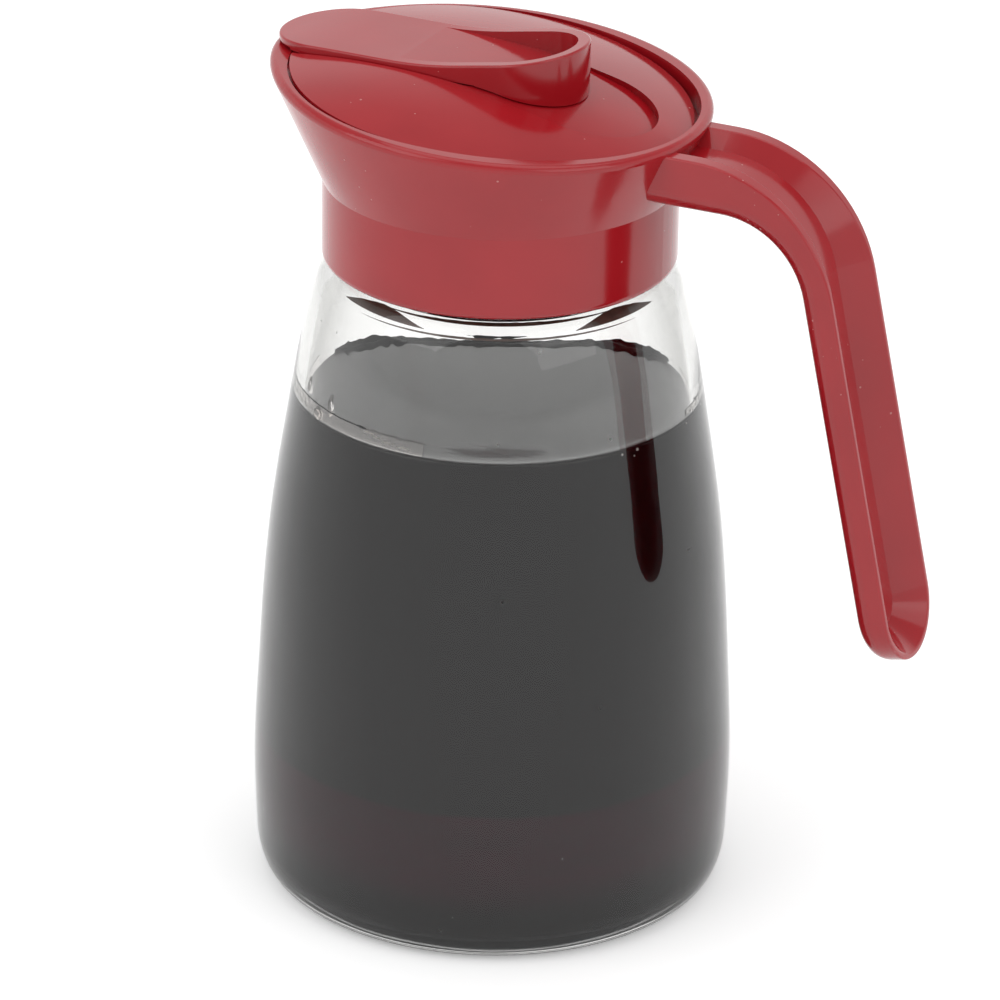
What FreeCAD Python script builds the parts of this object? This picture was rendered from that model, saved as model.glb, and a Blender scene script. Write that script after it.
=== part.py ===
import FreeCAD, Part
import math
import os

# Syrup dispenser: a tapered glass jar of syrup under a moulded pouring top with a hanging
# channel handle, a domed lid disc and a thumb slider that uncovers the pour slot.
# Millimetres, +Z up, the jar stands on z = 0 about the Z axis, handle toward +X, spout toward -X.

# ---- jar: the side is drawn through stations, each a share of the way from the neck radius to
# the widest radius, and a share of the height below the neck
JAR_RADIUS = 41.6
FOOT_INSET = 4.6
NECK_RADIUS = 27.3
NECK_START_Z = 113.4
NECK_HEIGHT = 14.1
JAR_STATIONS = ((0.825, 0.0072), (0.923, 0.0282), (0.979, 0.0794), (1.0, 0.1764), (0.951, 0.3351),
                (0.804, 0.582), (0.594, 0.7584), (0.392, 0.8995), (0.287, 0.9524), (0.175, 0.9859))
JAR_WALL = 2.5
BASE_THICKNESS = 2.8
JAR_INNER_CORNER = 5.0
NECK_LIP_ROUND = 0.8
# from this share of the height below the neck the inner wall falls behind the outer one
SHOULDER_FROM = 0.9
SHOULDER_DROP = 2.2
FOOT_RADIUS = JAR_RADIUS - FOOT_INSET
NECK_TOP_Z = NECK_START_Z + NECK_HEIGHT

# ---- syrup
SYRUP_LEVEL_Z = 89.4
SYRUP_WALL_GAP = 0.25

# ---- collar and flare
COLLAR_WALL = 2.4
COLLAR_NECK_CLEARANCE = 0.3
COLLAR_SHOULDER_GAP = 0.4
COLLAR_FOOT_ROUND = 1.2
CREASE_RISE = 0.6
SPOUT_BORE_STEP = 0.2
COLLAR_BORE_RADIUS = NECK_RADIUS + COLLAR_NECK_CLEARANCE
COLLAR_RADIUS = COLLAR_BORE_RADIUS + COLLAR_WALL
COLLAR_BOTTOM_Z = NECK_START_Z + COLLAR_SHOULDER_GAP
CREASE_Z = NECK_TOP_Z + CREASE_RISE
SPOUT_BORE_RADIUS = NECK_RADIUS - JAR_WALL - SPOUT_BORE_STEP

# ---- rim: an oval longer toward the spout, in a plane falling toward the handle; the spout draws
# its front out by up to SPOUT_POINT, more narrowly with a higher SPOUT_SHARPNESS
FLARE_HEIGHT = 16.1
RIM_CENTRE_X = -1.0
RIM_FRONT = 38.0
RIM_BACK = 36.9
RIM_SIDE = 35.85
RIM_FALL = 0.0757
RIM_OUTER_ROUND = 1.1
SPOUT_POINT = 2.5
SPOUT_SHARPNESS = 8
RIM_Z = CREASE_Z + FLARE_HEIGHT

# ---- well for the lid disc, cut inside the rim
WELL_CENTRE_X = -4.0
FRONT_LAND = 2.9
BACK_LAND = 2.3
SIDE_LAND = 3.05
WELL_FRONT_X = RIM_CENTRE_X - RIM_FRONT + FRONT_LAND
WELL_FRONT = WELL_CENTRE_X - WELL_FRONT_X
WELL_BACK = RIM_CENTRE_X + RIM_BACK - BACK_LAND - WELL_CENTRE_X
WELL_SIDE = RIM_SIDE - SIDE_LAND

# ---- lid disc: a shallow dome on a falling seat
DISC_FRONT_GAP = 0.3
DISC_BACK_GAP = 1.2
DISC_SIDE_GAP = 0.6
SEAT_DROP = 2.5
SEAT_FALL = 0.124
SEAT_WIDTH = 2.2
DOME_RISE = 5.6
DOME_FALL = 0.129
DOME_RADIUS = 147.0
POUR_SLOT_INSET = 3.1
POUR_SLOT_LENGTH = 6.0
POUR_SLOT_WIDTH = 14.0
SEAT_Z = RIM_Z - SEAT_DROP
DOME_TOP_Z = SEAT_Z + DOME_RISE
POUR_SLOT_FRONT_X = WELL_FRONT_X + POUR_SLOT_INSET

# ---- thumb slider
SLIDER_HALF_WIDTH = 10.6
SLIDER_REAR_X = 15.0
SLIDER_NOSE_INSET = 0.9
SLIDER_THICKNESS = 1.7
SLIDER_UNDER_GAP = 0.3
SLIDER_SIDE_GAP = 0.3
SLIDE_FLOOR_DROP = 0.3
SLIDE_TRAVEL = 10.7
NOSE_RIM_GAP = 0.3
NOSE_STEP_INSET = 1.1
NOSE_DROOP_LENGTH = 9.0
NOSE_DROOP = 0.08
NOSE_EASE = 4.5
LOOP_WALL = 2.1
LOOP_LENGTH = 25.0
LOOP_RISE = 0.175
LOOP_EASE = 6.0
POCKET_LEAD = 0.03
POCKET_DEPTH = 2.4
POCKET_BOW = 0.5
SLIDER_EDGE_ROUND = 0.35
SLIDER_FRONT_X = RIM_CENTRE_X - RIM_FRONT - SPOUT_POINT + SLIDER_NOSE_INSET
SLIDE_FLOOR_Z = DOME_TOP_Z - SLIDE_FLOOR_DROP
SLIDER_REST_Z = SLIDE_FLOOR_Z + SLIDER_UNDER_GAP
SLIDER_TOP_Z = SLIDER_REST_Z + SLIDER_THICKNESS
NOSE_UNDERSIDE_Z = RIM_Z - RIM_FALL * SLIDER_FRONT_X + NOSE_RIM_GAP
NOSE_STEP_X = WELL_FRONT_X + NOSE_STEP_INSET
NOSE_DROOP_START_X = SLIDER_FRONT_X + NOSE_DROOP_LENGTH
LOOP_START_X = SLIDER_REAR_X - LOOP_LENGTH
POCKET_START_X = LOOP_START_X - LOOP_EASE

# ---- thumb recess behind the slider
RECESS_SIDE_CLEARANCE = 1.5
RECESS_REAR_CLEARANCE = 1.8
RECESS_LEAD = 11.5
RECESS_FALL = 0.07
RECESS_HALF_WIDTH = SLIDER_HALF_WIDTH + RECESS_SIDE_CLEARANCE
RECESS_REAR_X = SLIDER_REAR_X + SLIDE_TRAVEL + RECESS_REAR_CLEARANCE
RECESS_FRONT_X = SLIDER_REAR_X - RECESS_LEAD

# ---- handle: a channel with sloping sides, open outward and shallower along its top run
HANDLE_WIDTH = 18.9
HANDLE_DROP = 3.7
HANDLE_DEPTH = 9.3
HANDLE_HANG = 84.9
HANDLE_OUTER_CORNER_X = 60.0
HANDLE_INNER_CORNER_X = 55.7
HANDLE_OUTER_BEND = 26.0
HANDLE_INNER_BEND = 15.0
HANDLE_LEAN = 12.3
HANDLE_LIP = 1.0
HANDLE_BACK_ROUND = 3.4
HANDLE_LIP_ROUND = 0.4
HANDLE_ROOT_X = 22.0
CHANNEL_DEPTH = 4.5
CHANNEL_ROOT_DEPTH = 2.6
CHANNEL_SPARE = 0.6
HANDLE_TOP_Z = RIM_Z - HANDLE_DROP
HANDLE_UNDER_Z = HANDLE_TOP_Z - HANDLE_DEPTH
HANDLE_TIP_Z = HANDLE_TOP_Z - HANDLE_HANG
CHANNEL_SLOPE = CHANNEL_DEPTH + CHANNEL_SPARE
CHANNEL_WIDTH = HANDLE_WIDTH - 2 * (HANDLE_LIP - CHANNEL_SPARE)
CHANNEL_BEND = HANDLE_OUTER_BEND - CHANNEL_DEPTH

# ---- construction
OVAL_POINTS = 48
TALL = 200.0
WIDE = 60.0
CLOSE = 0.02
OVERLAP = 0.2


def vec(x, y, z):
    return FreeCAD.Vector(x, y, z)


def line(a, b):
    return Part.LineSegment(a, b).toShape()


def revolve(edges):
    face = Part.Face(Part.Wire(edges))
    return face.revolve(vec(0, 0, 0), vec(0, 0, 1), 360)


def spline(points):
    curve = Part.BSplineCurve()
    curve.interpolate(points)
    return curve.toShape()


def oval_wire(centre, front, back, side, height, fall, point=0.0):
    """Closed oval over the plan in the plane z = height - fall * x, its front drawn out by point."""
    points = []
    for i in range(OVAL_POINTS):
        turn = 2 * math.pi * i / OVAL_POINTS
        ahead = max(0.0, -math.cos(turn))
        reach = back if math.cos(turn) > 0 else front + point * ahead ** SPOUT_SHARPNESS
        x = centre + reach * math.cos(turn)
        points.append(vec(x, side * math.sin(turn), height - fall * x))
    curve = Part.BSplineCurve()
    curve.interpolate(Points=points, PeriodicFlag=True)
    return Part.Wire([curve.toShape()])


def oval_prism(centre, front, back, side, bottom, top):
    """Upright prism over an oval plan."""
    wire = oval_wire(centre, front, back, side, bottom, 0)
    return Part.Face(wire).extrude(vec(0, 0, top - bottom))


def slab_above(height, fall):
    """Everything above the plane z = height - fall * x."""
    corners = [(-TALL, height + fall * TALL), (TALL, height - fall * TALL),
               (TALL, height + TALL), (-TALL, height + TALL)]
    return side_prism(corners, TALL)


def side_prism(corners, width):
    """Prism over a polygon in the XZ plane, centred on y = 0."""
    points = [vec(x, 0, z) for x, z in corners]
    return profile_prism([line(a, b) for a, b in zip(points, points[1:] + points[:1])], width)


def profile_prism(edges, width):
    """Prism over a closed outline in the XZ plane, centred on y = 0."""
    face = Part.Face(Part.Wire(edges)).translated(vec(0, -width / 2, 0))
    return face.extrude(vec(0, width, 0))


def arc(points):
    return Part.Arc(*points).toShape()


def eased(before, corner, after, ease):
    """Start, middle and end of the tangent arc that replaces a corner from ease before it on."""
    back = (before - corner).normalize()
    on = (after - corner).normalize()
    turn = math.pi - back.getAngle(on)
    inward = (back + on).normalize()
    return corner + back * ease, corner + inward * (ease * math.tan(turn / 4)), corner + on * ease


def lane_prism(half_width, rear_x, front_x, round_front=False):
    """Upright prism with straight sides, a half round rear and a square or half round front."""
    rear_hub_x = rear_x - half_width
    front_hub_x = front_x + half_width if round_front else front_x
    left = vec(front_hub_x, half_width, 0)
    right = vec(front_hub_x, -half_width, 0)
    left_rear = vec(rear_hub_x, half_width, 0)
    right_rear = vec(rear_hub_x, -half_width, 0)
    front = arc((left, vec(front_x, 0, 0), right)) if round_front else line(left, right)
    rear = arc((right_rear, vec(rear_x, 0, 0), left_rear))
    wire = Part.Wire([front, line(right, right_rear), rear, line(left_rear, left)])
    return Part.Face(wire).extrude(vec(0, 0, TALL))


def dome_ball(height, fall, growth):
    """Ball whose crown follows the lid dome through (0, 0, height)."""
    tilt = math.atan(fall)
    centre = vec(-DOME_RADIUS * math.sin(tilt), 0, height - DOME_RADIUS * math.cos(tilt))
    return Part.makeSphere(DOME_RADIUS + growth, centre)


def fillet(shape, radius, keep):
    """Round the edges for which keep is true."""
    edges = [edge for edge in shape.Edges if keep(edge)]
    return shape.makeFillet(radius, edges)


def low(edge):
    return edge.BoundBox.ZMin


def high(edge):
    return edge.BoundBox.ZMax


def jar_stations():
    """Radius and height of each station on the outside of the glass."""
    span = JAR_RADIUS - NECK_RADIUS
    return [(NECK_RADIUS + share * span, rise * NECK_START_Z) for share, rise in JAR_STATIONS]


def shoulder_drop(z):
    """How far the inner wall has fallen behind the outer one at a height on the outside."""
    start = SHOULDER_FROM * NECK_START_Z
    return SHOULDER_DROP * max(0.0, z - start) / (NECK_START_Z - start)


def inner_curve(gap):
    """Inner wall of the glass from the floor corner to the neck, moved inward by gap."""
    above = BASE_THICKNESS + JAR_INNER_CORNER
    stations = [(radius - JAR_WALL - gap, z - shoulder_drop(z)) for radius, z in jar_stations()
                if z > above]
    corner_x = stations[0][0] - JAR_INNER_CORNER
    eighth = math.radians(45)
    points = [vec(corner_x, 0, BASE_THICKNESS),
              vec(corner_x + JAR_INNER_CORNER * math.sin(eighth), 0,
                  BASE_THICKNESS + JAR_INNER_CORNER * (1 - math.cos(eighth)))]
    points += [vec(radius, 0, z) for radius, z in stations]
    points.append(vec(NECK_RADIUS - JAR_WALL - gap, 0, NECK_START_Z - SHOULDER_DROP))
    return spline(points), points


def make_jar():
    foot = vec(FOOT_RADIUS, 0, 0)
    outer_points = [foot] + [vec(radius, 0, z) for radius, z in jar_stations()]
    outer_points.append(vec(NECK_RADIUS, 0, NECK_START_Z))
    outer = spline(outer_points)
    inner, inner_points = inner_curve(0)
    lip_out = vec(NECK_RADIUS, 0, NECK_TOP_Z)
    lip_in = vec(NECK_RADIUS - JAR_WALL, 0, NECK_TOP_Z)
    floor = vec(0, 0, BASE_THICKNESS)
    edges = [line(vec(0, 0, 0), foot), outer, line(outer_points[-1], lip_out), line(lip_out, lip_in),
             line(lip_in, inner_points[-1]), inner, line(inner_points[0], floor),
             line(floor, vec(0, 0, 0))]
    jar = revolve(edges)
    return fillet(jar, NECK_LIP_ROUND, lambda e: low(e) > NECK_TOP_Z - CLOSE)


def make_syrup():
    wall, points = inner_curve(SYRUP_WALL_GAP)
    top = vec(0, 0, points[-1].z)
    floor = vec(0, 0, BASE_THICKNESS)
    filled = revolve([line(floor, points[0]), wall, line(points[-1], top), line(top, floor)])
    level = Part.makeBox(TALL, TALL, TALL, vec(-TALL / 2, -TALL / 2, SYRUP_LEVEL_Z - TALL))
    return filled.common(level)


def handle_directions():
    """Down the grip, and outward square to it."""
    lean = math.radians(HANDLE_LEAN)
    return vec(math.sin(lean), 0, -math.cos(lean)), vec(math.cos(lean), 0, math.sin(lean))


def handle_path(corner_x, corner_z, bend, outward, upward):
    """Head, bend start, middle and end, and tail of a long side, moved outward and upward."""
    lean = math.radians(HANDLE_LEAN)
    run, out = handle_directions()
    x = corner_x + outward / math.cos(lean) - upward * math.tan(lean)
    corner = vec(x, 0, corner_z + upward)
    head = vec(HANDLE_ROOT_X, 0, corner.z)
    tail = corner + run * ((HANDLE_HANG + HANDLE_WIDTH) / math.cos(lean))
    ease = bend * math.tan(math.radians(90 - HANDLE_LEAN) / 2)
    start, middle, end = eased(head, corner, tail, ease)
    return head, start, middle, end, tail


def gap_to_path(edge, path, bend):
    """Distance of an edge's middle from a long side, seen from the side of the handle."""
    head, start, middle, end, tail = path
    run, out = handle_directions()
    point = edge.valueAt((edge.FirstParameter + edge.LastParameter) / 2)
    point = vec(point.x, 0, point.z)
    if point.x < start.x:
        return abs(point.z - start.z)
    if (point - end).dot(run) > 0:
        return abs((point - end).dot(out))
    return abs(point.distanceToPoint(start - vec(0, 0, bend)) - bend)


def lengthwise(edge):
    """False for the edges that run straight across the handle."""
    return edge.BoundBox.XLength > CLOSE or edge.BoundBox.ZLength > CLOSE


def handle_body(inner, outer, width):
    """What lies between two long sides, carried across the width, with a half round lower end."""
    run, out = handle_directions()
    blank = profile_prism([line(inner[0], inner[1]), arc(inner[1:4]), line(inner[3], inner[4]),
                           line(inner[4], outer[4]), line(outer[4], outer[3]), arc(outer[3:0:-1]),
                           line(outer[1], outer[0]), line(outer[0], inner[0])], width)
    middle_x = (HANDLE_OUTER_CORNER_X + HANDLE_INNER_CORNER_X) / 2
    middle_z = (HANDLE_TOP_Z + HANDLE_UNDER_Z) / 2
    to_tip = (middle_z - HANDLE_TIP_Z) / math.cos(math.radians(HANDLE_LEAN)) - HANDLE_WIDTH / 2
    centre = vec(middle_x, 0, middle_z) + run * to_tip
    keep = Part.makeBox(TALL, TALL, TALL, vec(-TALL / 2, -TALL / 2, 0))
    turn = FreeCAD.Rotation(vec(0, 0, 1), run * -1)
    keep.Placement = FreeCAD.Placement(centre, turn).multiply(keep.Placement)
    end = Part.makeCylinder(width / 2, WIDE, centre - out * (WIDE / 2), out)
    return blank.common(keep).fuse(blank.common(end)).removeSplitter()


def make_handle():
    inner = handle_path(HANDLE_INNER_CORNER_X, HANDLE_UNDER_Z, HANDLE_INNER_BEND, 0, 0)
    outer = handle_path(HANDLE_OUTER_CORNER_X, HANDLE_TOP_Z, HANDLE_OUTER_BEND, 0, 0)
    blank = handle_body(inner, outer, HANDLE_WIDTH)
    rounded = fillet(blank, HANDLE_BACK_ROUND,
                     lambda e: gap_to_path(e, inner, HANDLE_INNER_BEND) < CLOSE and lengthwise(e))
    floor = handle_path(HANDLE_OUTER_CORNER_X, HANDLE_TOP_Z, CHANNEL_BEND, -CHANNEL_DEPTH,
                        -CHANNEL_ROOT_DEPTH)
    above = handle_path(HANDLE_OUTER_CORNER_X, HANDLE_TOP_Z, HANDLE_OUTER_BEND + HANDLE_WIDTH,
                        HANDLE_WIDTH, HANDLE_WIDTH)
    hollow = handle_body(floor, above, CHANNEL_WIDTH)
    foot_edges = [e for e in hollow.Edges if gap_to_path(e, floor, CHANNEL_BEND) < CLOSE and lengthwise(e)]
    channel = rounded.cut(hollow.makeChamfer(CHANNEL_SLOPE, foot_edges))
    return fillet(channel, HANDLE_LIP_ROUND,
                  lambda e: gap_to_path(e, outer, HANDLE_OUTER_BEND) < CLOSE and lengthwise(e))


def make_pouring_top():
    crease = oval_wire(0, COLLAR_RADIUS, COLLAR_RADIUS, COLLAR_RADIUS, CREASE_Z, 0)
    rim = oval_wire(RIM_CENTRE_X, RIM_FRONT, RIM_BACK, RIM_SIDE, RIM_Z, RIM_FALL, SPOUT_POINT)
    flare = Part.makeLoft([crease, rim], True, True)
    rim_low = RIM_Z - RIM_FALL * (RIM_CENTRE_X + RIM_BACK) - 1.0
    flare = fillet(flare, RIM_OUTER_ROUND, lambda e: low(e) > rim_low)
    collar = Part.Face(crease).extrude(vec(0, 0, COLLAR_BOTTOM_Z - CREASE_Z))
    collar = fillet(collar, COLLAR_FOOT_ROUND, lambda e: high(e) < COLLAR_BOTTOM_Z + CLOSE)
    shell = flare.fuse(collar).fuse(make_handle())
    neck_room = Part.makeCylinder(COLLAR_BORE_RADIUS, NECK_HEIGHT, vec(0, 0, NECK_START_Z))
    bore = oval_wire(0, SPOUT_BORE_RADIUS, SPOUT_BORE_RADIUS, SPOUT_BORE_RADIUS, NECK_TOP_Z - OVERLAP, 0)
    mouth = oval_wire(WELL_CENTRE_X, WELL_FRONT - DISC_FRONT_GAP - SEAT_WIDTH,
                      WELL_BACK - DISC_BACK_GAP - SEAT_WIDTH, WELL_SIDE - DISC_SIDE_GAP - SEAT_WIDTH,
                      SEAT_Z + OVERLAP, SEAT_FALL)
    passage = Part.makeLoft([bore, mouth], True, True)
    well = oval_prism(WELL_CENTRE_X, WELL_FRONT, WELL_BACK, WELL_SIDE, CREASE_Z, TALL)
    well = well.common(slab_above(SEAT_Z, SEAT_FALL))
    return shell.cut(neck_room).cut(passage).cut(well)


def make_lid_disc():
    outline = oval_prism(WELL_CENTRE_X, WELL_FRONT - DISC_FRONT_GAP, WELL_BACK - DISC_BACK_GAP,
                         WELL_SIDE - DISC_SIDE_GAP, CREASE_Z, TALL)
    disc = outline.common(slab_above(SEAT_Z, SEAT_FALL))
    disc = disc.common(dome_ball(DOME_TOP_Z, DOME_FALL, 0))
    half = SLIDER_HALF_WIDTH + SLIDER_SIDE_GAP
    slide_way = Part.makeBox(TALL, 2 * half, TALL, vec(SLIDER_REAR_X - TALL, -half, SLIDE_FLOOR_Z))
    recess = lane_prism(RECESS_HALF_WIDTH, RECESS_REAR_X, RECESS_FRONT_X - RECESS_SIDE_CLEARANCE)
    recess = recess.cut(dome_ball(DOME_TOP_Z + RECESS_FALL * RECESS_FRONT_X, DOME_FALL + RECESS_FALL, 0))
    slot = Part.makeBox(POUR_SLOT_LENGTH, POUR_SLOT_WIDTH, WIDE,
                        vec(POUR_SLOT_FRONT_X, -POUR_SLOT_WIDTH / 2, SEAT_Z - WIDE / 2))
    return disc.cut(slide_way).cut(recess).cut(slot)


def slider_side():
    """Side view of the slider's top: a drooping nose, a level middle and a rising loop."""
    far_front = SLIDER_FRONT_X - WIDE
    far_rear = SLIDER_REAR_X + WIDE
    front = vec(far_front, 0, SLIDER_TOP_Z - NOSE_DROOP * (NOSE_DROOP_START_X - far_front))
    nose = vec(NOSE_DROOP_START_X, 0, SLIDER_TOP_Z)
    loop = vec(LOOP_START_X, 0, SLIDER_TOP_Z)
    rear = vec(far_rear, 0, SLIDER_TOP_Z + LOOP_RISE * (far_rear - LOOP_START_X))
    droop = eased(front, nose, loop, NOSE_EASE)
    rise = eased(nose, loop, rear, LOOP_EASE)
    front_foot = vec(far_front, 0, 0)
    rear_foot = vec(far_rear, 0, 0)
    return profile_prism([line(front_foot, front), line(front, droop[0]), arc(droop),
                          line(droop[2], rise[0]), arc(rise), line(rise[2], rear),
                          line(rear, rear_foot), line(rear_foot, front_foot)], TALL)


def thumb_pocket():
    """Room inside the loop, over a floor that bows down toward the rear."""
    room = lane_prism(SLIDER_HALF_WIDTH - LOOP_WALL, SLIDER_REAR_X - LOOP_WALL, POCKET_START_X)
    front = vec(POCKET_START_X, 0, SLIDER_TOP_Z + POCKET_LEAD)
    rear = vec(SLIDER_REAR_X, 0, SLIDER_TOP_Z - POCKET_DEPTH)
    bow = (front + rear) * 0.5 + vec(0, 0, POCKET_BOW)
    rear_top = vec(SLIDER_REAR_X, 0, TALL)
    front_top = vec(POCKET_START_X, 0, TALL)
    return room.common(profile_prism([arc((front, bow, rear)), line(rear, rear_top),
                                      line(rear_top, front_top), line(front_top, front)], TALL))


def make_thumb_slider():
    plan = lane_prism(SLIDER_HALF_WIDTH, SLIDER_REAR_X, SLIDER_FRONT_X, True)
    under = dome_ball(DOME_TOP_Z, DOME_FALL, SLIDER_UNDER_GAP)
    under = under.common(dome_ball(DOME_TOP_Z + RECESS_FALL * RECESS_FRONT_X, DOME_FALL + RECESS_FALL,
                                   SLIDER_UNDER_GAP))
    level = Part.makeBox(TALL, TALL, TALL, vec(-TALL / 2, -TALL / 2, SLIDER_REST_Z - TALL))
    step = Part.makeBox(TALL, TALL, TALL, vec(NOSE_STEP_X - TALL, -TALL / 2, NOSE_UNDERSIDE_Z - TALL))
    runner = Part.makeBox(TALL, TALL, TALL, vec(-TALL, -TALL / 2, SLIDER_REST_Z - TALL))
    block = plan.common(slider_side()).cut(under.common(level)).cut(step).cut(runner)
    slider = block.cut(thumb_pocket())

    def top_rim(edge):
        middle = edge.valueAt((edge.FirstParameter + edge.LastParameter) / 2)
        wall_top = SLIDER_TOP_Z + LOOP_RISE * max(0.0, middle.x - LOOP_START_X)
        wall_top -= NOSE_DROOP * max(0.0, NOSE_DROOP_START_X - middle.x)
        hub_x = min(middle.x, SLIDER_REAR_X - SLIDER_HALF_WIDTH)
        hub_x = max(hub_x, SLIDER_FRONT_X + SLIDER_HALF_WIDTH)
        outside = math.hypot(middle.x - hub_x, middle.y) > SLIDER_HALF_WIDTH - CLOSE
        return abs(middle.z - wall_top) < SLIDER_THICKNESS / 3 and outside

    return fillet(slider, SLIDER_EDGE_ROUND, top_rim)


def export(name, shape):
    shape = shape.removeSplitter()
    solids = shape.Solids
    print(name, len(solids), "solid(s), valid", shape.isValid(), "volume", round(shape.Volume, 1),
          "box", [round(v, 2) for v in (shape.BoundBox.XMin, shape.BoundBox.XMax, shape.BoundBox.YMin,
                                        shape.BoundBox.YMax, shape.BoundBox.ZMin, shape.BoundBox.ZMax)])
    solids[0].exportStep(os.path.join("parts", name + ".step"))


os.makedirs("parts", exist_ok=True)
export("jar", make_jar())
export("syrup", make_syrup())
export("pouring_top", make_pouring_top())
export("lid_disc", make_lid_disc())
export("thumb_slider", make_thumb_slider())
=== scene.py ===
import logging
import math
from bisect import bisect
from dataclasses import dataclass
from enum import Enum
from typing import Callable, Iterable

import bmesh
import bpy
from mathutils import Matrix, Vector


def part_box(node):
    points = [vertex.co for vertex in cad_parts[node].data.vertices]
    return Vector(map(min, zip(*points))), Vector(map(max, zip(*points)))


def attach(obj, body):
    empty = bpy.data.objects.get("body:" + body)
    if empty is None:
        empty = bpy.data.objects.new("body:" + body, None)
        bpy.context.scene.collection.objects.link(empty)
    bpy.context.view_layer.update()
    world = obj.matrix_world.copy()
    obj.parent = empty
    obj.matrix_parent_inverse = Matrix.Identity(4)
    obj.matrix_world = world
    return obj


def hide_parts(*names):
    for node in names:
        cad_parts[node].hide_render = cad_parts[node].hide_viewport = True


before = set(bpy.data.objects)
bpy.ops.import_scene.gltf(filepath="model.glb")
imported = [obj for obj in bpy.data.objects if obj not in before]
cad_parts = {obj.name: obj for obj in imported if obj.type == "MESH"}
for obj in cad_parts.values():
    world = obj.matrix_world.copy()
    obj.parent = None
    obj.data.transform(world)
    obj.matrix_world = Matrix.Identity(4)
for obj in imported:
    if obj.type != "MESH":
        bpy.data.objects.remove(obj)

log = logging.getLogger("syrup_dispenser")

Colour = tuple[float, float, float, float]
Ring = tuple[float, float]
Place = tuple[float, float, float]

FINEST = 0.00005  # heights nearer than this count as one ring of a CAD node, in metres
CLOSE = 0.00001  # corners nearer than this to a height are at it
WALL_SKIN = 0.00007  # how far a film's drawn face stands off the wall that it clings to
SMOOTH_ANGLE = 40.0  # edges sharper than this stay sharp, in degrees


class Body(Enum):
    """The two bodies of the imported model."""

    DISPENSER = "dispenser"
    SLIDER = "slider"


class Slot(Enum):
    """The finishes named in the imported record."""

    GLASS = "clear_glass"
    SYRUP = "syrup"
    PLASTIC = "red_plastic"


# ---------------------------------------------------------------- node helpers
class NodeKit:
    """Adds nodes to one tree and wires them up."""

    def __init__(self, tree: bpy.types.NodeTree) -> None:
        """Starts from an empty tree.

        Args:
            tree: the node tree to fill.
        """
        self.tree = tree
        tree.nodes.clear()

    def add(self, kind: str, inputs: dict | None = None, **settings: object) -> bpy.types.Node:
        """Adds one node.

        Args:
            kind: the node's type name without its ShaderNode prefix, or a full type name.
            inputs: values or output sockets for the node's inputs, by name or index.
            settings: the node's own properties.

        Returns:
            The new node.
        """
        full = kind if kind.startswith("Node") else "ShaderNode" + kind
        node = self.tree.nodes.new(full)
        for name, value in settings.items():
            setattr(node, name, value)
        for name, value in (inputs or {}).items():
            self.put(node.inputs[name], value)
        return node

    def put(self, socket: bpy.types.NodeSocket, value: object) -> None:
        """Sets a socket to a constant, or links an output to it."""
        if isinstance(value, bpy.types.NodeSocket):
            self.tree.links.new(value, socket)
        else:
            socket.default_value = value

    def place(self) -> bpy.types.NodeSocket:
        """Position on the piece, in object coordinates."""
        return self.add("TexCoord").outputs["Object"]

    def math(self, operation: str, *values: object) -> bpy.types.NodeSocket:
        """One Math node over sockets or numbers.

        Args:
            operation: the Math node's operation.
            values: its inputs in order.

        Returns:
            The result socket.
        """
        return self.add("Math", dict(enumerate(values)), operation=operation).outputs[0]

    def noise(self, place: bpy.types.NodeSocket, scale: float, detail: float = 2.0,
              rough: float = 0.5) -> bpy.types.NodeSocket:
        """Noise height from 0 to 1 at a scale in cells per metre."""
        node = self.add("TexNoise", {"Vector": place, "Scale": scale, "Detail": detail,
                                     "Roughness": rough})
        return node.outputs["Fac"]

    def stretch(self, place: bpy.types.NodeSocket, scale: Place,
                turn: Place = (0, 0, 0)) -> bpy.types.NodeSocket:
        """Scales and turns a position."""
        node = self.add("Mapping", {"Vector": place, "Scale": scale, "Rotation": turn})
        return node.outputs[0]

    def span(self, value: object, low: float, high: float, start: float = 0.0,
             end: float = 1.0) -> bpy.types.NodeSocket:
        """Smooth step from start to end as value goes from low to high."""
        node = self.add("MapRange", {"Value": value, "From Min": low, "From Max": high,
                                     "To Min": start, "To Max": end},
                        interpolation_type="SMOOTHSTEP")
        return node.outputs["Result"]

    def blend(self, mask: object, first: object, second: object) -> bpy.types.NodeSocket:
        """Mixes two colours by a mask."""
        node = self.add("Mix", data_type="RGBA")
        colours = [s for s in node.inputs if s.type == "RGBA"]
        self.put(node.inputs[0], mask)
        self.put(colours[0], first)
        self.put(colours[1], second)
        return [s for s in node.outputs if s.type == "RGBA"][0]

    def separate(self, place: bpy.types.NodeSocket) -> bpy.types.NodeOutputs:
        """X, Y and Z of a position."""
        return self.add("SeparateXYZ", {"Vector": place}).outputs

    def bump(self, height: bpy.types.NodeSocket, distance: float) -> bpy.types.NodeSocket:
        """Normal from a height, whose 1 stands for distance in metres."""
        node = self.add("Bump", {"Height": height, "Distance": distance, "Strength": 1.0})
        return node.outputs["Normal"]


def new_material(name: str) -> tuple[bpy.types.Material, NodeKit]:
    material = bpy.data.materials.new(name)
    material.use_nodes = True
    return material, NodeKit(material.node_tree)


def finish_material(kit: NodeKit, shader: bpy.types.Node) -> None:
    """Sends a shader to the material's output."""
    kit.add("OutputMaterial", {"Surface": shader.outputs[0]})


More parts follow.
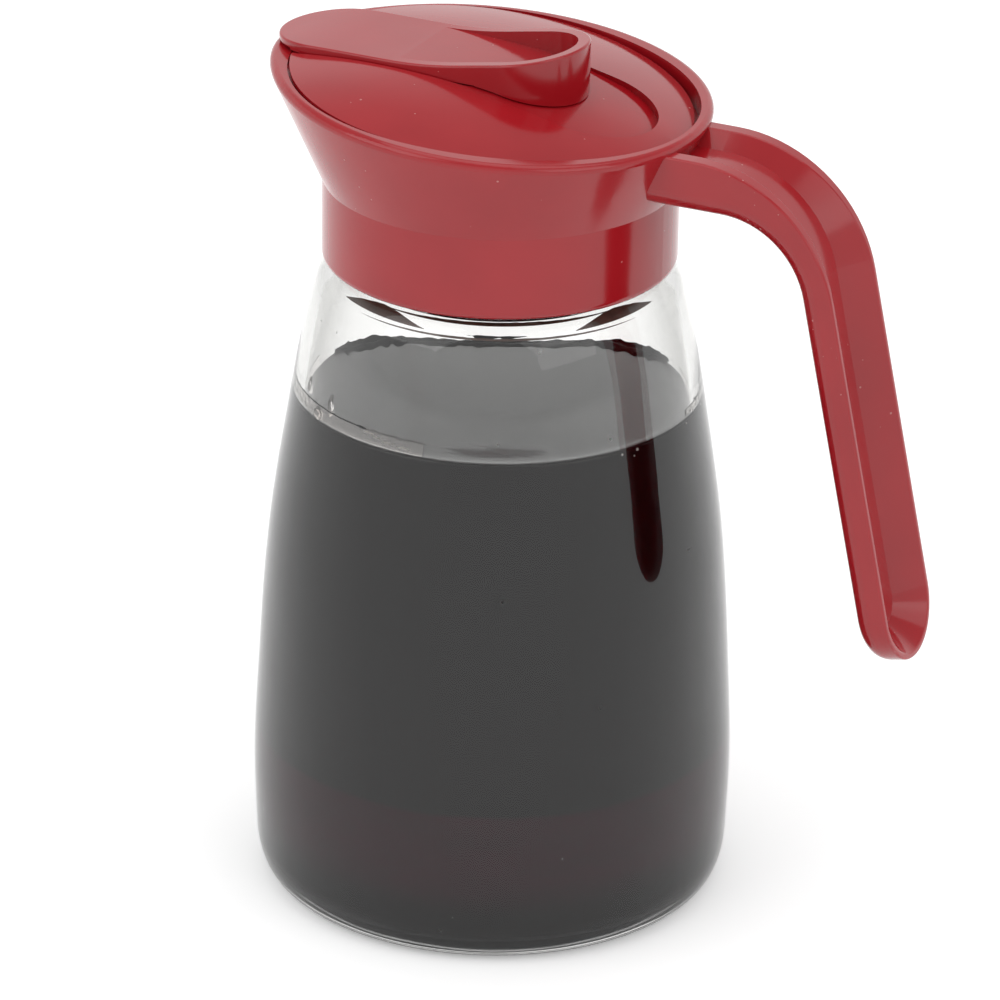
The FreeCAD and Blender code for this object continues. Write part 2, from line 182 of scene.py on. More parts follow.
def new_group(name: str, inputs: dict[str, tuple[str, object]],
              outputs: dict[str, str]) -> tuple[bpy.types.NodeTree, NodeKit, bpy.types.Node, bpy.types.Node]:
    """A shader node group with named sockets.

    Args:
        name: the group's name.
        inputs: socket type and default for each input.
        outputs: socket type for each output.

    Returns:
        The group, its kit, and its input and output nodes.
    """
    group = bpy.data.node_groups.new(name, "ShaderNodeTree")
    for label, (kind, default) in inputs.items():
        socket = group.interface.new_socket(label, in_out="INPUT", socket_type=kind)
        socket.default_value = default
    for label, kind in outputs.items():
        group.interface.new_socket(label, in_out="OUTPUT", socket_type=kind)
    kit = NodeKit(group)
    source = kit.add("NodeGroupInput")
    drain = kit.add("NodeGroupOutput")
    return group, kit, source, drain


def ripple_group() -> bpy.types.NodeTree:
    """Shallow waviness of a moulded surface: a long swell with a fine grain on it."""
    group, kit, source, drain = new_group(
        "moulding_ripple",
        {"Swell Scale": ("NodeSocketFloat", 60.0), "Grain Scale": ("NodeSocketFloat", 900.0),
         "Grain Share": ("NodeSocketFloat", 0.2)},
        {"Height": "NodeSocketFloat"})
    place = kit.place()
    swell = kit.add("TexNoise", {"Vector": place, "Scale": source.outputs["Swell Scale"], "Detail": 1.0})
    grain = kit.add("TexNoise", {"Vector": place, "Scale": source.outputs["Grain Scale"], "Detail": 2.0})
    share = kit.math("MULTIPLY", grain.outputs["Fac"], source.outputs["Grain Share"])
    kit.put(drain.inputs["Height"], kit.math("ADD", swell.outputs["Fac"], share))
    return group


def dust_group() -> bpy.types.NodeTree:
    """Sparse round specks of dust, each in its own cell, only some cells filled."""
    group, kit, source, drain = new_group(
        "dust_specks",
        {"Cells": ("NodeSocketFloat", 320.0), "Share": ("NodeSocketFloat", 0.1),
         "Size": ("NodeSocketFloat", 0.1)},
        {"Mask": "NodeSocketFloat"})
    cells = kit.add("TexVoronoi", {"Vector": kit.place(), "Scale": source.outputs["Cells"]})
    chance = kit.separate(cells.outputs["Color"])
    filled = kit.math("LESS_THAN", chance["X"], source.outputs["Share"])
    size = kit.math("MULTIPLY", chance["Y"], source.outputs["Size"])
    inside = kit.math("LESS_THAN", cells.outputs["Distance"], size)
    kit.put(drain.inputs["Mask"], kit.math("MULTIPLY", filled, inside))
    return group


# ---------------------------------------------------------------- finishes
@dataclass(frozen=True)
class RedPlastic:
    """Glossy red moulding with dust, handling scuffs and a slight swell under the gloss."""

    deep: Colour = (0.335, 0.0075, 0.0125, 1)
    worn: Colour = (0.375, 0.0105, 0.016, 1)
    dust: Colour = (0.52, 0.23, 0.22, 1)
    gloss: float = 0.12
    scuffed: float = 0.24
    index: float = 1.53
    speck_cells: float = 900.0
    speck_size: float = 0.2
    speck_cover: float = 0.75
    speck_share: float = 0.035
    handled_share: float = 0.30
    handled_top: tuple[Place, float] = ((0.052, -0.004, 0.139), 0.014)
    handled_wall: tuple[Place, float] = ((0.066, -0.004, 0.108), 0.017)
    swell_depth: float = 0.00012

    def build(self, ripple: bpy.types.NodeTree, dust: bpy.types.NodeTree) -> bpy.types.Material:
        """Makes the material.

        Args:
            ripple: the moulding waviness group.
            dust: the specks group.

        Returns:
            The material.
        """
        material, kit = new_material("red_moulded_plastic")
        place = kit.place()
        cloudy = kit.span(kit.noise(place, 45.0, 3.0), 0.3, 0.7)
        colour = kit.blend(cloudy, self.deep, self.worn)
        handled = kit.math("MAXIMUM", self.near(kit, place, *self.handled_top),
                           self.near(kit, place, *self.handled_wall))
        share = kit.math("MULTIPLY_ADD", handled, self.handled_share, self.speck_share)
        specks = kit.add("Group", {"Cells": self.speck_cells, "Share": share, "Size": self.speck_size},
                         node_tree=dust).outputs["Mask"]
        colour = kit.blend(kit.math("MULTIPLY", specks, self.speck_cover), colour, self.dust)
        hair = kit.noise(kit.stretch(place, (2600, 500, 120), (0.3, 0.5, 0.4)), 1.0, 4.0, 0.7)
        scuff = kit.math("MULTIPLY", kit.span(hair, 0.66, 0.78), kit.span(kit.noise(place, 80.0), 0.5, 0.7))
        rough = kit.math("MULTIPLY_ADD", scuff, self.scuffed - self.gloss, self.gloss)
        rough = kit.math("MULTIPLY_ADD", cloudy, 0.03, rough)
        rough = kit.math("MULTIPLY_ADD", specks, 0.4, rough)
        swell = kit.add("Group", {"Swell Scale": 55.0, "Grain Scale": 1400.0, "Grain Share": 0.012},
                        node_tree=ripple).outputs["Height"]
        shader = kit.add("BsdfPrincipled", {
            "Base Color": colour, "Roughness": rough, "IOR": self.index,
            "Normal": kit.bump(swell, self.swell_depth)})
        finish_material(kit, shader)
        return material

    @staticmethod
    def near(kit: NodeKit, place: bpy.types.NodeSocket, centre: Place,
             reach: float) -> bpy.types.NodeSocket:
        """Mask that fades from 1 at a point to 0 at reach from it."""
        gap = kit.add("VectorMath", {0: place, 1: centre}, operation="DISTANCE")
        return kit.span(gap.outputs["Value"], reach, 0.3 * reach)


@dataclass(frozen=True)
class ClearGlass:
    """Pressed clear glass, softly wavy, whose colour is painted darker where it is seen on edge: painted
    shade.
    """

    tint: Colour = (0.945, 0.944, 0.936, 1)
    # The edge tint and its span below are painted shade: the glass's colour turns darker where it is seen on
    # edge.
    painted_edge_shade: Colour = (0.52, 0.52, 0.50, 1)
    painted_edge_shade_from_to: tuple[float, float] = (0.30, 0.80)
    index: float = 1.5
    swell_depth: float = 0.00025
    speck_rough: float = 0.5

    def build(self, ripple: bpy.types.NodeTree, dust: bpy.types.NodeTree) -> bpy.types.Material:
        """Makes the material from the ripple and dust groups."""
        material, kit = new_material("clear_pressed_glass")
        swell = kit.add("Group", {"Swell Scale": 42.0, "Grain Scale": 420.0, "Grain Share": 0.01},
                        node_tree=ripple).outputs["Height"]
        specks = kit.add("Group", {"Cells": 500.0, "Share": 0.02, "Size": 0.14},
                         node_tree=dust).outputs["Mask"]
        # Painted shade: the colour moves from the plain tint to the dark edge tint as the glass is seen more
        # on edge.
        edge = kit.span(kit.add("LayerWeight").outputs["Facing"], *self.painted_edge_shade_from_to)
        shader = kit.add("BsdfPrincipled", {
            "Base Color": kit.blend(edge, self.tint, self.painted_edge_shade),
            "Roughness": kit.math("MULTIPLY", specks, self.speck_rough),
            "IOR": self.index, "Transmission Weight": 1.0,
            "Normal": kit.bump(swell, self.swell_depth)})
        finish_material(kit, shader)
        return material


@dataclass(frozen=True)
class DarkSyrup:
    """Near-black syrup with a dull red glow painted into its colour, in a band low in the jar."""

    body: Colour = (0.0045, 0.0032, 0.0034, 1)
    # The glow colour and its band of heights below are painted light: a dull red glow with no lamp behind
    # it.
    painted_glow: Colour = (0.029, 0.0012, 0.0075, 1)
    painted_glow_low: float = 0.0125
    painted_glow_high: float = 0.0275
    painted_glow_wander: float = 0.0012
    low_fade: float = 0.004
    high_fade: float = 0.0012
    index: float = 1.42
    against_glass: float = 0.06
    against_air: float = 0.62

    def build(self) -> bpy.types.Material:
        """Makes the material, whose sides mirror less than its top because they meet the glass."""
        material, kit = new_material("dark_syrup")
        place = kit.place()
        height = kit.separate(place)["Z"]
        upward = kit.separate(kit.add("NewGeometry").outputs["Normal"])["Z"]
        mirror = kit.span(upward, 0.35, 0.6, self.against_glass, self.against_air)
        # Painted light: the dull red glow is painted into the colour between two heights, its edges
        # wandering and mottled.
        wander = kit.math("MULTIPLY", kit.noise(place, 60.0, 3.0), self.painted_glow_wander)
        height = kit.math("ADD", height, wander)
        rise = kit.span(height, self.painted_glow_low - self.low_fade, self.painted_glow_low + self.low_fade)
        fall = kit.span(height, self.painted_glow_high + self.high_fade, self.painted_glow_high)
        mottle = kit.span(kit.noise(kit.stretch(place, (1, 1, 3)), 70.0, 4.0), 0.2, 0.8, 0.65, 1.0)
        painted_glow_band = kit.math("MULTIPLY", kit.math("MULTIPLY", rise, fall), mottle)
        colour = kit.blend(painted_glow_band, self.body, self.painted_glow)
        streak = kit.noise(kit.stretch(place, (90, 260, 90), (0, 0, 0.5)), 1.0, 5.0, 0.6)
        rough = kit.math("MULTIPLY_ADD", kit.span(streak, 0.4, 0.75), 0.05, 0.02)
        shader = kit.add("BsdfPrincipled", {
            "Base Color": colour, "Roughness": rough, "IOR": self.index, "Specular IOR Level": mirror,
            "Normal": kit.bump(streak, 0.00002)})
        finish_material(kit, shader)
        return material


@dataclass(frozen=True)
class SyrupTrace:
    """Clinging film, drips and froth of the same syrup, thin enough to see through."""

    tint: Colour = (0.93, 0.90, 0.88, 1)
    index: float = 1.36
    rough: float = 0.04

    def build(self) -> bpy.types.Material:
        """Makes the material."""
        material, kit = new_material("thin_syrup")
        place = kit.place()
        height = kit.noise(place, 900.0, 3.0)
        rough = kit.math("MULTIPLY_ADD", kit.noise(place, 300.0), 0.08, self.rough)
        shader = kit.add("BsdfPrincipled", {
            "Base Color": self.tint, "Roughness": rough, "IOR": self.index, "Transmission Weight": 1.0,
            "Normal": kit.bump(height, 0.0001)})
        finish_material(kit, shader)
        return material


@dataclass(frozen=True)
class PlainCoat:
    """A thin opaque coat of one colour, such as the painted shade along the jar's shoulder, or pale froth,
    which on the bubbles is partly painted highlight.
    """

    name: str
    colour: Colour
    rough: float

    def build(self) -> bpy.types.Material:
        """Makes the material."""
        material, kit = new_material(self.name)
        shade = kit.span(kit.noise(kit.place(), 500.0, 3.0), 0.3, 0.7, 0.75, 1.0)
        colour = kit.blend(shade, (0, 0, 0, 1), self.colour)
        finish_material(kit, kit.add("BsdfPrincipled", {"Base Color": colour, "Roughness": self.rough}))
        return material


# ---------------------------------------------------------------- modelling helpers
class Shaper:
    """Edit-mode modelling of one new piece."""

    def __init__(self, name: str) -> None:
        """Starts with nothing selected.

        Args:
            name: the finished piece's name.
        """
        self.name = name
        bpy.ops.object.select_all(action="DESELECT")

    def own(self) -> bpy.types.Object:
        """Takes the newest primitive as this piece."""
        piece = bpy.context.object
        piece.name = self.name
        piece.data.name = self.name
        return piece

    @staticmethod
    def lathe(rings: Iterable[Ring], segments: int) -> bpy.types.Object:
        """A round shell drawn up ring by ring from the first.

        Args:
            rings: radius and height of each ring.
            segments: corners of each ring.

        Returns:
            The open shell, in object mode.
        """
        rings = list(rings)
        radius, height = rings[0]
        bpy.ops.mesh.primitive_circle_add(vertices=segments, radius=radius, location=(0, 0, height))
        piece = bpy.context.object
        bpy.ops.object.transform_apply(location=True, rotation=True, scale=True)
        bpy.ops.object.mode_set(mode="EDIT")
        bpy.ops.mesh.select_all(action="SELECT")
        for wider, higher in rings[1:]:
            bpy.ops.mesh.extrude_region_move(TRANSFORM_OT_translate={"value": (0, 0, higher - height)})
            share = wider / radius
            bpy.ops.transform.resize(value=(share, share, 1), center_override=(0, 0, higher))
            radius, height = wider, higher
        bpy.ops.object.mode_set(mode="OBJECT")
        return piece

    @staticmethod
    def turned(profile: list[Ring], segments: int) -> bpy.types.Object:
        """A solid turned about the Z axis from a side line drawn point by point.

        Args:
            profile: radius and height of each point, the first and the last on the axis.
            segments: corners of each ring.

        Returns:
            The closed solid, in object mode.
        """
        radius, height = profile[0]
        bpy.ops.mesh.primitive_plane_add(size=0.001, location=(radius, 0, height))
        piece = bpy.context.object
        bpy.ops.object.transform_apply(location=True, rotation=True, scale=True)
        bpy.ops.object.mode_set(mode="EDIT")
        bpy.ops.mesh.select_all(action="SELECT")
        bpy.ops.mesh.merge(type="CENTER")
        for before, after in zip(profile, profile[1:]):
            bpy.ops.mesh.extrude_region_move(
                TRANSFORM_OT_translate={"value": (after[0] - before[0], 0, after[1] - before[1])})
        bpy.ops.object.mode_set(mode="OBJECT")
        Shaper.modify(piece, "SCREW", steps=segments, render_steps=segments, use_merge_vertices=True,
                      merge_threshold=0.1 * CLOSE, use_normal_calculate=True)
        return piece

    @staticmethod
    def pick(piece: bpy.types.Object, chosen: Callable[[Vector], bool]) -> None:
        """Enters edit mode with only the chosen corners selected."""
        bpy.context.view_layer.objects.active = piece
        bpy.ops.object.mode_set(mode="EDIT")
        bpy.ops.mesh.select_mode(type="VERT")
        bpy.ops.mesh.select_all(action="DESELECT")
        mesh = bmesh.from_edit_mesh(piece.data)
        for corner in mesh.verts:
            corner.select_set(chosen(corner.co))
        mesh.select_flush_mode()
        bmesh.update_edit_mesh(piece.data)

    @staticmethod
    def close() -> None:
        """Leaves edit mode."""
        bpy.ops.object.mode_set(mode="OBJECT")

    @staticmethod
    def modify(piece: bpy.types.Object, kind: str, **settings: object) -> None:
        """Adds a modifier and applies it."""
        modifier = piece.modifiers.new(kind.lower(), kind)
        for name, value in settings.items():
            setattr(modifier, name, value)
        bpy.context.view_layer.objects.active = piece
        bpy.ops.object.modifier_apply(modifier=modifier.name)

    @staticmethod
    def smooth(piece: bpy.types.Object) -> None:
        """Shades a piece smooth except at its sharp edges."""
        bpy.ops.object.select_all(action="DESELECT")
        piece.select_set(True)
        bpy.context.view_layer.objects.active = piece
        bpy.ops.object.shade_smooth_by_angle(angle=math.radians(SMOOTH_ANGLE))

    @staticmethod
    def dress(piece: bpy.types.Object, material: bpy.types.Material) -> None:
        """Gives a piece one material."""
        piece.data.materials.clear()
        piece.data.materials.append(material)


class Outline:
    """One side of a round CAD node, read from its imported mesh."""

    least_facing = 0.05
    foot_height = 0.008
    foot_share = 0.35

    def __init__(self, node: str, facing: float = 1.0) -> None:
        """Collects the node's corners on that side.

        Args:
            node: a node that is round about the Z axis.
            facing: 1 for the side that faces away from the axis, -1 for one that faces it.
        """
        found: dict[int, Ring] = {}
        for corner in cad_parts[node].data.vertices:
            flat = Vector((corner.co.x, corner.co.y, 0))
            if facing * corner.normal.dot(flat) > self.least_facing * flat.length:
                found[round(corner.co.z / FINEST)] = (flat.length, corner.co.z)
        self.rings = [found[step] for step in sorted(found)]
        self.heights = [height for _, height in self.rings]

    def radius(self, z: float) -> float:
        """Radius at height z, in metres."""
        place = min(max(bisect(self.heights, z), 1), len(self.rings) - 1)
        (near, low), (far, high) = self.rings[place - 1:place + 1]
        share = min(max((z - low) / (high - low), 0.0), 1.0)
        return near + (far - near) * share

    def trace(self, step: float) -> list[Ring]:
        """Rings up this side about a step apart, closer round the turn at the foot."""
        kept = [self.rings[0]]
        for ring in self.rings[1:]:
            apart = step * (self.foot_share if ring[1] < self.foot_height else 1.0)
            if math.dist(ring, kept[-1]) >= apart:
                kept.append(ring)
        return kept + self.rings[-1:]


# ---------------------------------------------------------------- sub-assemblies
@dataclass
class GlassJar:
    """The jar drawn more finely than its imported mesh, so that what is seen through it is smooth."""

    segments: int = 264
    step: float = 0.0011
    edge: float = 0.0003
    slack: float = 0.00003

    def build(self, finish: bpy.types.Material) -> bpy.types.Object:
        """Makes the jar, a slack smaller round than the CAD jar so that it stays inside its size.

        Args:
            finish: its material.

        Returns:
            The piece that stands for the CAD jar.
        """
        outer = [(radius - self.slack, height) for radius, height in Outline("jar").trace(self.step)]
        inner = Outline("jar", -1.0).trace(self.step)
        profile = self.disc(outer[0]) + outer + inner[::-1] + self.disc(inner[0])[::-1]
        shaper = Shaper("glass_jar")
        shaper.turned(profile, self.segments)
        piece = shaper.own()
        shaper.smooth(piece)
        shaper.dress(piece, finish)
        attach(piece, Body.DISPENSER.value)
        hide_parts("jar")
        return piece

    def disc(self, rim: Ring) -> list[Ring]:
        """Points from the axis out to just inside a flat's rim."""
        radius, height = rim
        return [(0.0, height), (0.5 * radius, height), (radius - self.edge, height)]


@dataclass
class SyrupFill:
    """The syrup up to its level, a little into the wall so that no air gap shows.

    The meniscus gives the share of the climb that is left at each distance in from the edge.
    """

    wall_reach: float = 0.0006
    floor_reach: float = 0.0003
    segments: int = 128
    side_step: float = 0.004
    foot_height: float = 0.012
    foot_share: float = 0.35
    climb: float = 0.00025
    meniscus: tuple[Ring, ...] = ((0.0010, 1.0), (0.0014, 0.55), (0.0019, 0.28), (0.0027, 0.09),
                                  (0.0042, 0.0), (0.0075, 0.0))
    top_rings: tuple[float, ...] = (0.6, 0.35, 0.12)
    middle_share: float = 0.45

    def build(self, finish: bpy.types.Material) -> bpy.types.Object:
        """Makes the syrup.

        Args:
            finish: its material.

        Returns:
            The piece that stands for the CAD syrup.
        """
        low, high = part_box("syrup")
        outline = Outline("syrup")
        shaper = Shaper("syrup_fill")
        bottom = low.z - self.floor_reach
        rings = [(outline.radius(low.z) - 0.006, bottom), (outline.radius(low.z) - 0.0005, bottom),
                 (outline.radius(low.z + 0.0008) + 0.3 * self.wall_reach, low.z + 0.0003)]
        level = high.z
        height = low.z + 0.0016
        while height < level - self.side_step:
            rings.append((outline.radius(height) + self.wall_reach, height))
            height += self.side_step * (self.foot_share if height < self.foot_height else 1.0)
        rim = outline.radius(level)
        rings.append((rim + self.wall_reach, level))
        rings.append((rim + self.wall_reach - 0.0001, level + self.climb))
        rings += [(rim + self.wall_reach - back, level + self.climb * share)
                  for back, share in self.meniscus]
        rings += [(rim * share, level) for share in self.top_rings]
        piece = shaper.lathe(rings, self.segments)
        for edge, flat in (rings[0], rings[-1]):
            shaper.pick(piece, lambda c: abs(c.z - flat) < CLOSE and math.hypot(c.x, c.y) < edge + CLOSE)
            bpy.ops.mesh.edge_face_add()
            bpy.ops.mesh.inset(thickness=edge * self.middle_share)
            bpy.ops.mesh.poke()
            shaper.close()
        piece = shaper.own()
        shaper.modify(piece, "SUBSURF", levels=1, render_levels=1)
        shaper.smooth(piece)
        shaper.dress(piece, finish)
        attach(piece, Body.DISPENSER.value)
        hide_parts("syrup")
        return piece


@dataclass
class ClingFilm:
    """Syrup left on the inner wall above the level, ragged along its top.

    It runs from one bearing about the jar's axis to another, both in degrees, and stands its
    height up from its rise above the level.
    """

    name: str
    start: float
    end: float
    rise: float
    height: float
    ragged: float
    thickness: float
    seed: int
    tapered: bool = False
    rows: int = 5
    segments: int = 240
    least_share: float = 0.04

    def build(self, finish: bpy.types.Material) -> bpy.types.Object:
        """Makes one stretch of film.

        Args:
            finish: its material.

        Returns:
            The film piece.
        """
        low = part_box("syrup")[1].z + self.rise
        wall = Outline("jar", -1.0)
        shaper = Shaper(self.name)
        heights = [low + self.height * row / self.rows for row in range(self.rows + 1)]
        piece = shaper.lathe([(wall.radius(height), height) for height in heights], self.segments)
        shaper.pick(piece, lambda c: not self.start <= math.degrees(math.atan2(c.y, c.x)) <= self.end)
        bpy.ops.mesh.delete(type="VERT")
        shaper.close()
        shaper.pick(piece, lambda c: c.z > heights[-1] - CLOSE)
        bpy.ops.transform.vertex_random(offset=self.ragged, uniform=0.0, normal=0.0, seed=self.seed)
        shaper.close()
        piece = shaper.own()
        self.hug(piece, wall, low)
        shaper.modify(piece, "SOLIDIFY", thickness=self.thickness, offset=-1.0)
        shaper.modify(piece, "SUBSURF", levels=2, render_levels=2)
        shaper.smooth(piece)
        shaper.dress(piece, finish)
        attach(piece, Body.DISPENSER.value)
        return piece

    def hug(self, piece: bpy.types.Object, wall: Outline, low: float) -> None:
        """Brings every corner back onto the wall, and narrows a tapered film toward its ends."""
        for corner in piece.data.vertices:
            if self.tapered:
                bearing = math.degrees(math.atan2(corner.co.y, corner.co.x))
                share = (bearing - self.start) / (self.end - self.start)
                narrowed = max(math.sin(math.pi * share), self.least_share)
                corner.co.z = low + (corner.co.z - low) * narrowed
            want = wall.radius(corner.co.z) - WALL_SKIN
            share = want / math.hypot(corner.co.x, corner.co.y)
            corner.co.x *= share
            corner.co.y *= share


@dataclass
class Beads:
    """Small beads on the inner wall: drips, froth or bubbles, joined as one piece.

    Each spot gives its bearing in degrees, its height above the level, its half width and its
    half height. The tail is how far a bead narrows at its top, and sunk is how far out from the
    wall's face their middles lie, into the glass.
    """

    name: str
    spots: tuple[tuple[float, float, float, float], ...]
    flat: float
    tail: float = 0.0
    sunk: float = -0.00003
    tail_from: float = 0.35
    tail_stretch: float = 1.3

    def build(self, finish: bpy.types.Material) -> bpy.types.Object:
        """Makes the beads.

        Args:
            finish: their material.

        Returns:
            The joined piece.
        """
        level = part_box("syrup")[1].z
        inner = Outline("jar", -1.0)
        shaper = Shaper(self.name)
        made = []
        for bearing, above, half_width, half_height in self.spots:
            turn = math.radians(bearing)
            wall = inner.radius(level + above) + self.sunk
            centre = Vector((wall * math.cos(turn), wall * math.sin(turn), level + above))
            bpy.ops.object.select_all(action="DESELECT")
            bpy.ops.mesh.primitive_uv_sphere_add(segments=16, ring_count=10, radius=half_width,
                                                 location=centre, rotation=(0, 0, turn))
            bead = bpy.context.object
            bpy.ops.object.mode_set(mode="EDIT")
            bpy.ops.mesh.select_all(action="SELECT")
            bpy.ops.transform.resize(value=(self.flat, 1, half_height / half_width), orient_type="LOCAL",
                                     center_override=centre)
            bpy.ops.object.mode_set(mode="OBJECT")
            bpy.ops.object.transform_apply(location=True, rotation=True, scale=True)
            if self.tail:
                top = centre.z + self.tail_from * half_height
                shaper.pick(bead, lambda c: c.z > top)
                narrow = (1 - self.tail, 1 - self.tail, self.tail_stretch)
                bpy.ops.transform.resize(value=narrow, center_override=(centre.x, centre.y, top))
                shaper.close()
            made.append(bead)
        bpy.ops.object.select_all(action="DESELECT")
        for bead in made:
            bead.select_set(True)
        bpy.context.view_layer.objects.active = made[0]
        bpy.ops.object.join()
        piece = shaper.own()
        shaper.smooth(piece)
        shaper.dress(piece, finish)
        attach(piece, Body.DISPENSER.value)
        return piece


@dataclass
class PackedNodes:
    """The CAD pieces that are shown as they are, in the plastic."""

    plastic: tuple[str, ...] = ("pouring_top", "lid_disc", "thumb_slider")

    def build(self, finish: bpy.types.Material) -> None:
        """Assigns the finish to each piece's material slots."""
        for name in self.plastic:
            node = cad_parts[name]
            for holder in node.material_slots:
                holder.material = finish
            log.info("%s: packed node", name)


# ---------------------------------------------------------------- studio
@dataclass
class Studio:
    """Pale floor, soft lamps, white surround and the camera."""

    camera_place: Place = (0.3972, -0.8253, 0.4813)
    camera_aim: Place = (0.00062, 0.0003, 0.06827)
    camera_roll: float = 0.9
    lens: float = 210.7
    surround: float = 1.0
    overhead: float = 0.5
    dim_from_to: tuple[float, float] = (0.43, 0.66)
    ambient: float = 0.72
    floor_colour: Colour = (0.88, 0.88, 0.88, 1)
    floor_lift: float = 0.33
    floor_gap: float = 0.0002
    lamp_aim: Place = (0, 0, 0.08)
    lamps: tuple[tuple[Place, float, float], ...] = (
        ((-0.9, -1.3, 1.5), 1.5, 9.0),
        ((1.5, -0.5, 1.2), 1.3, 5.0),
        ((0.0, 0.3, 2.2), 1.8, 9.0),
    )

    def build(self) -> None:
        """Sets up the world, the floor, the lamps and the camera."""
        self.build_world()
        self.build_floor()
        for number, (place, size, power) in enumerate(self.lamps):
            self.build_lamp(number, place, size, power)
        self.build_camera()
        bpy.context.scene.view_settings.view_transform = "Standard"

    @staticmethod
    def seen(kit: NodeKit) -> bpy.types.NodeSocket:
        """1 for rays that see the surround itself: direct, mirrored or through glass."""
        path = kit.add("LightPath").outputs
        mirrored = kit.math("MAXIMUM", path["Is Camera Ray"], path["Is Glossy Ray"])
        return kit.math("MAXIMUM", mirrored, path["Is Transmission Ray"])

    def build_world(self) -> None:
        """White toward the horizon, dimmer overhead, and darker where it only lights."""
        world = bpy.data.worlds.new("studio")
        bpy.context.scene.world = world
        world.use_nodes = True
        kit = NodeKit(world.node_tree)
        upward = kit.separate(kit.add("TexCoord").outputs["Generated"])["Z"]
        seen = kit.span(upward, *self.dim_from_to, self.surround, self.overhead)
        spread = kit.math("SUBTRACT", seen, self.ambient)
        strength = kit.math("MULTIPLY_ADD", self.seen(kit), spread, self.ambient)
        back = kit.add("Background", {"Color": (1, 1, 1, 1), "Strength": strength})
        kit.add("OutputWorld", {"Surface": back.outputs[0]})

    def build_floor(self) -> None:
        """A wide pale floor that keeps the shadow."""
        bpy.ops.object.select_all(action="DESELECT")
        bpy.ops.mesh.primitive_plane_add(size=12, location=(0, 0, -self.floor_gap))
        floor = bpy.context.object
        floor.name = "floor"
        material, kit = new_material("pale_floor")
        paint = kit.add("BsdfDiffuse", {"Color": self.floor_colour})
        lift = kit.add("Emission", {"Strength": kit.math("MULTIPLY", self.seen(kit), self.floor_lift)})
        both = kit.add("AddShader", {0: paint.outputs[0], 1: lift.outputs[0]})
        finish_material(kit, both)
        Shaper.dress(floor, material)

    def build_lamp(self, number: int, place: Place, size: float, power: float) -> None:
        """One square soft lamp that faces the object."""
        light = bpy.data.lights.new(f"soft_lamp_{number}", "AREA")
        light.shape = "SQUARE"
        light.size = size
        light.energy = power
        lamp = bpy.data.objects.new(f"soft_lamp_{number}", light)
        bpy.context.scene.collection.objects.link(lamp)
        lamp.location = place
        facing = Vector(self.lamp_aim) - Vector(place)
        lamp.rotation_euler = facing.to_track_quat("-Z", "Y").to_euler()

    def build_camera(self) -> None:
        """The camera, level but for a slight roll."""
        data = bpy.data.cameras.new("camera")
        data.lens = self.lens
        data.sensor_width = 36.0
        data.clip_start = 0.05
        camera = bpy.data.objects.new("camera", data)
        bpy.context.scene.collection.objects.link(camera)
        bpy.context.scene.camera = camera
        place = Vector(self.camera_place)
        facing = (Vector(self.camera_aim) - place).to_track_quat("-Z", "Y").to_matrix().to_4x4()
        roll = Matrix.Rotation(math.radians(self.camera_roll), 4, "Z")
        camera.matrix_world = Matrix.Translation(place) @ facing @ roll


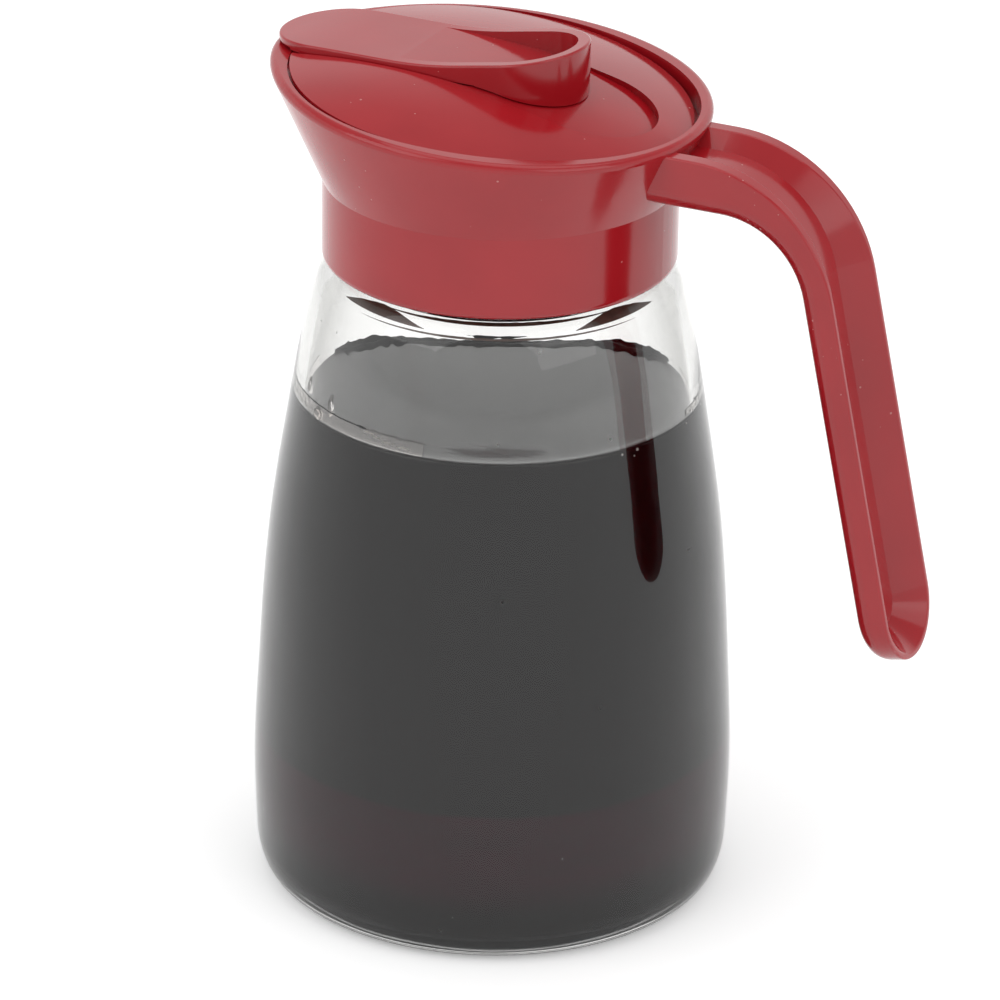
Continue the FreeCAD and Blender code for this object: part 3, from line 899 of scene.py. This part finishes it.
def main() -> None:
    """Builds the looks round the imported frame, in order."""
    logging.basicConfig(level=logging.INFO, format="%(name)s: %(message)s")
    bpy.context.view_layer.update()
    Studio().build()
    ripple = ripple_group()
    dust = dust_group()
    red = RedPlastic().build(ripple, dust)
    glass = ClearGlass().build(ripple, dust)
    PackedNodes().build(red)
    thin = SyrupTrace().build()
    dark = DarkSyrup().build()
    # Painted shade: the dark coat of the ring and crescents drawn where the shoulder begins.
    painted_shoulder_shade = PlainCoat("painted_shoulder_shade_coat", (0.11, 0.065, 0.05, 1), 0.25).build()
    # Pale froth coat: the froth's own colour on the ridges, partly painted highlight on the bubbles.
    froth_and_highlight = PlainCoat("pale_froth_and_highlight", (0.72, 0.69, 0.66, 1), 0.3).build()
    assemblies = (
        (GlassJar(), glass),
        (SyrupFill(), dark),
        # name, start, end, rise, height, ragged, thickness, seed and whether it is tapered
        (ClingFilm("syrup_film_left", -168.0, -84.0, 0.0004, 0.0024, 0.00035, 0.00022, 4), thin),
        (ClingFilm("syrup_film_right", 2.0, 34.0, 0.0004, 0.0012, 0.0004, 0.0002, 9), thin),
        (ClingFilm("syrup_tide_left", -160.0, -104.0, 0.0026, 0.00022, 0.00045, 0.00012, 5), dark),
        (ClingFilm("syrup_tide_right", 10.0, 38.0, 0.0016, 0.0002, 0.0005, 0.00012, 3), dark),
        (ClingFilm("syrup_film_back", 48.0, 178.0, 0.0002, 0.0012, 0.0008, 0.0002, 11), dark),
        # The dark ring and crescents below are painted shade, about 20 mm above the level, where the
        # shoulder begins.
        (ClingFilm("painted_shade_ring_low", -118.0, -11.0, 0.0199, 0.0003, 0.00005, 0.0001, 7, True), painted_shoulder_shade),
        (ClingFilm("painted_shade_ring_high", -112.0, -17.0, 0.0213, 0.0003, 0.00005, 0.0001, 2, True), painted_shoulder_shade),
        (ClingFilm("painted_shade_crescent_left", -128.0, -90.0, 0.0204, 0.0010, 0.00005, 0.0001, 8, True), painted_shoulder_shade),
        (ClingFilm("painted_shade_crescent_right", -38.0, -1.0, 0.0204, 0.0010, 0.00005, 0.0001, 6, True), painted_shoulder_shade),
        (Beads("syrup_drips", (
            (-134.2, 0.0044, 0.0006, 0.0015), (-120.8, 0.0036, 0.0007, 0.0019),
            (-126.7, 0.0012, 0.0013, 0.0011)), flat=0.5, tail=0.35), thin),
        (Beads("froth_ridges", (
            (-104.0, 0.0022, 0.0011, 0.00022), (-101.0, 0.0018, 0.0008, 0.0002),
            (-97.5, 0.0014, 0.0009, 0.0002), (-92.0, 0.0012, 0.0011, 0.00022)), flat=0.3), froth_and_highlight),
        # The bubbles take the pale froth coat, so their pale colour is partly painted highlight.
        (Beads("syrup_bubbles", (
            (-26.8, -0.0004, 0.0002, 0.0002), (-21.3, -0.0003, 0.00026, 0.00026),
            (-22.6, -0.0012, 0.00016, 0.00016), (2.3, -0.0004, 0.0002, 0.0002),
            (8.0, 0.0006, 0.0002, 0.0002), (16.0, -0.0003, 0.0002, 0.0002),
            (24.0, 0.0003, 0.00024, 0.00024)), flat=0.8, sunk=0.0007), froth_and_highlight),
    )
    for assembly, finish in assemblies:
        piece = assembly.build(finish)
        log.info("%s: %d corners", piece.name, len(piece.data.vertices))


if __name__ == "__main__":
    main()
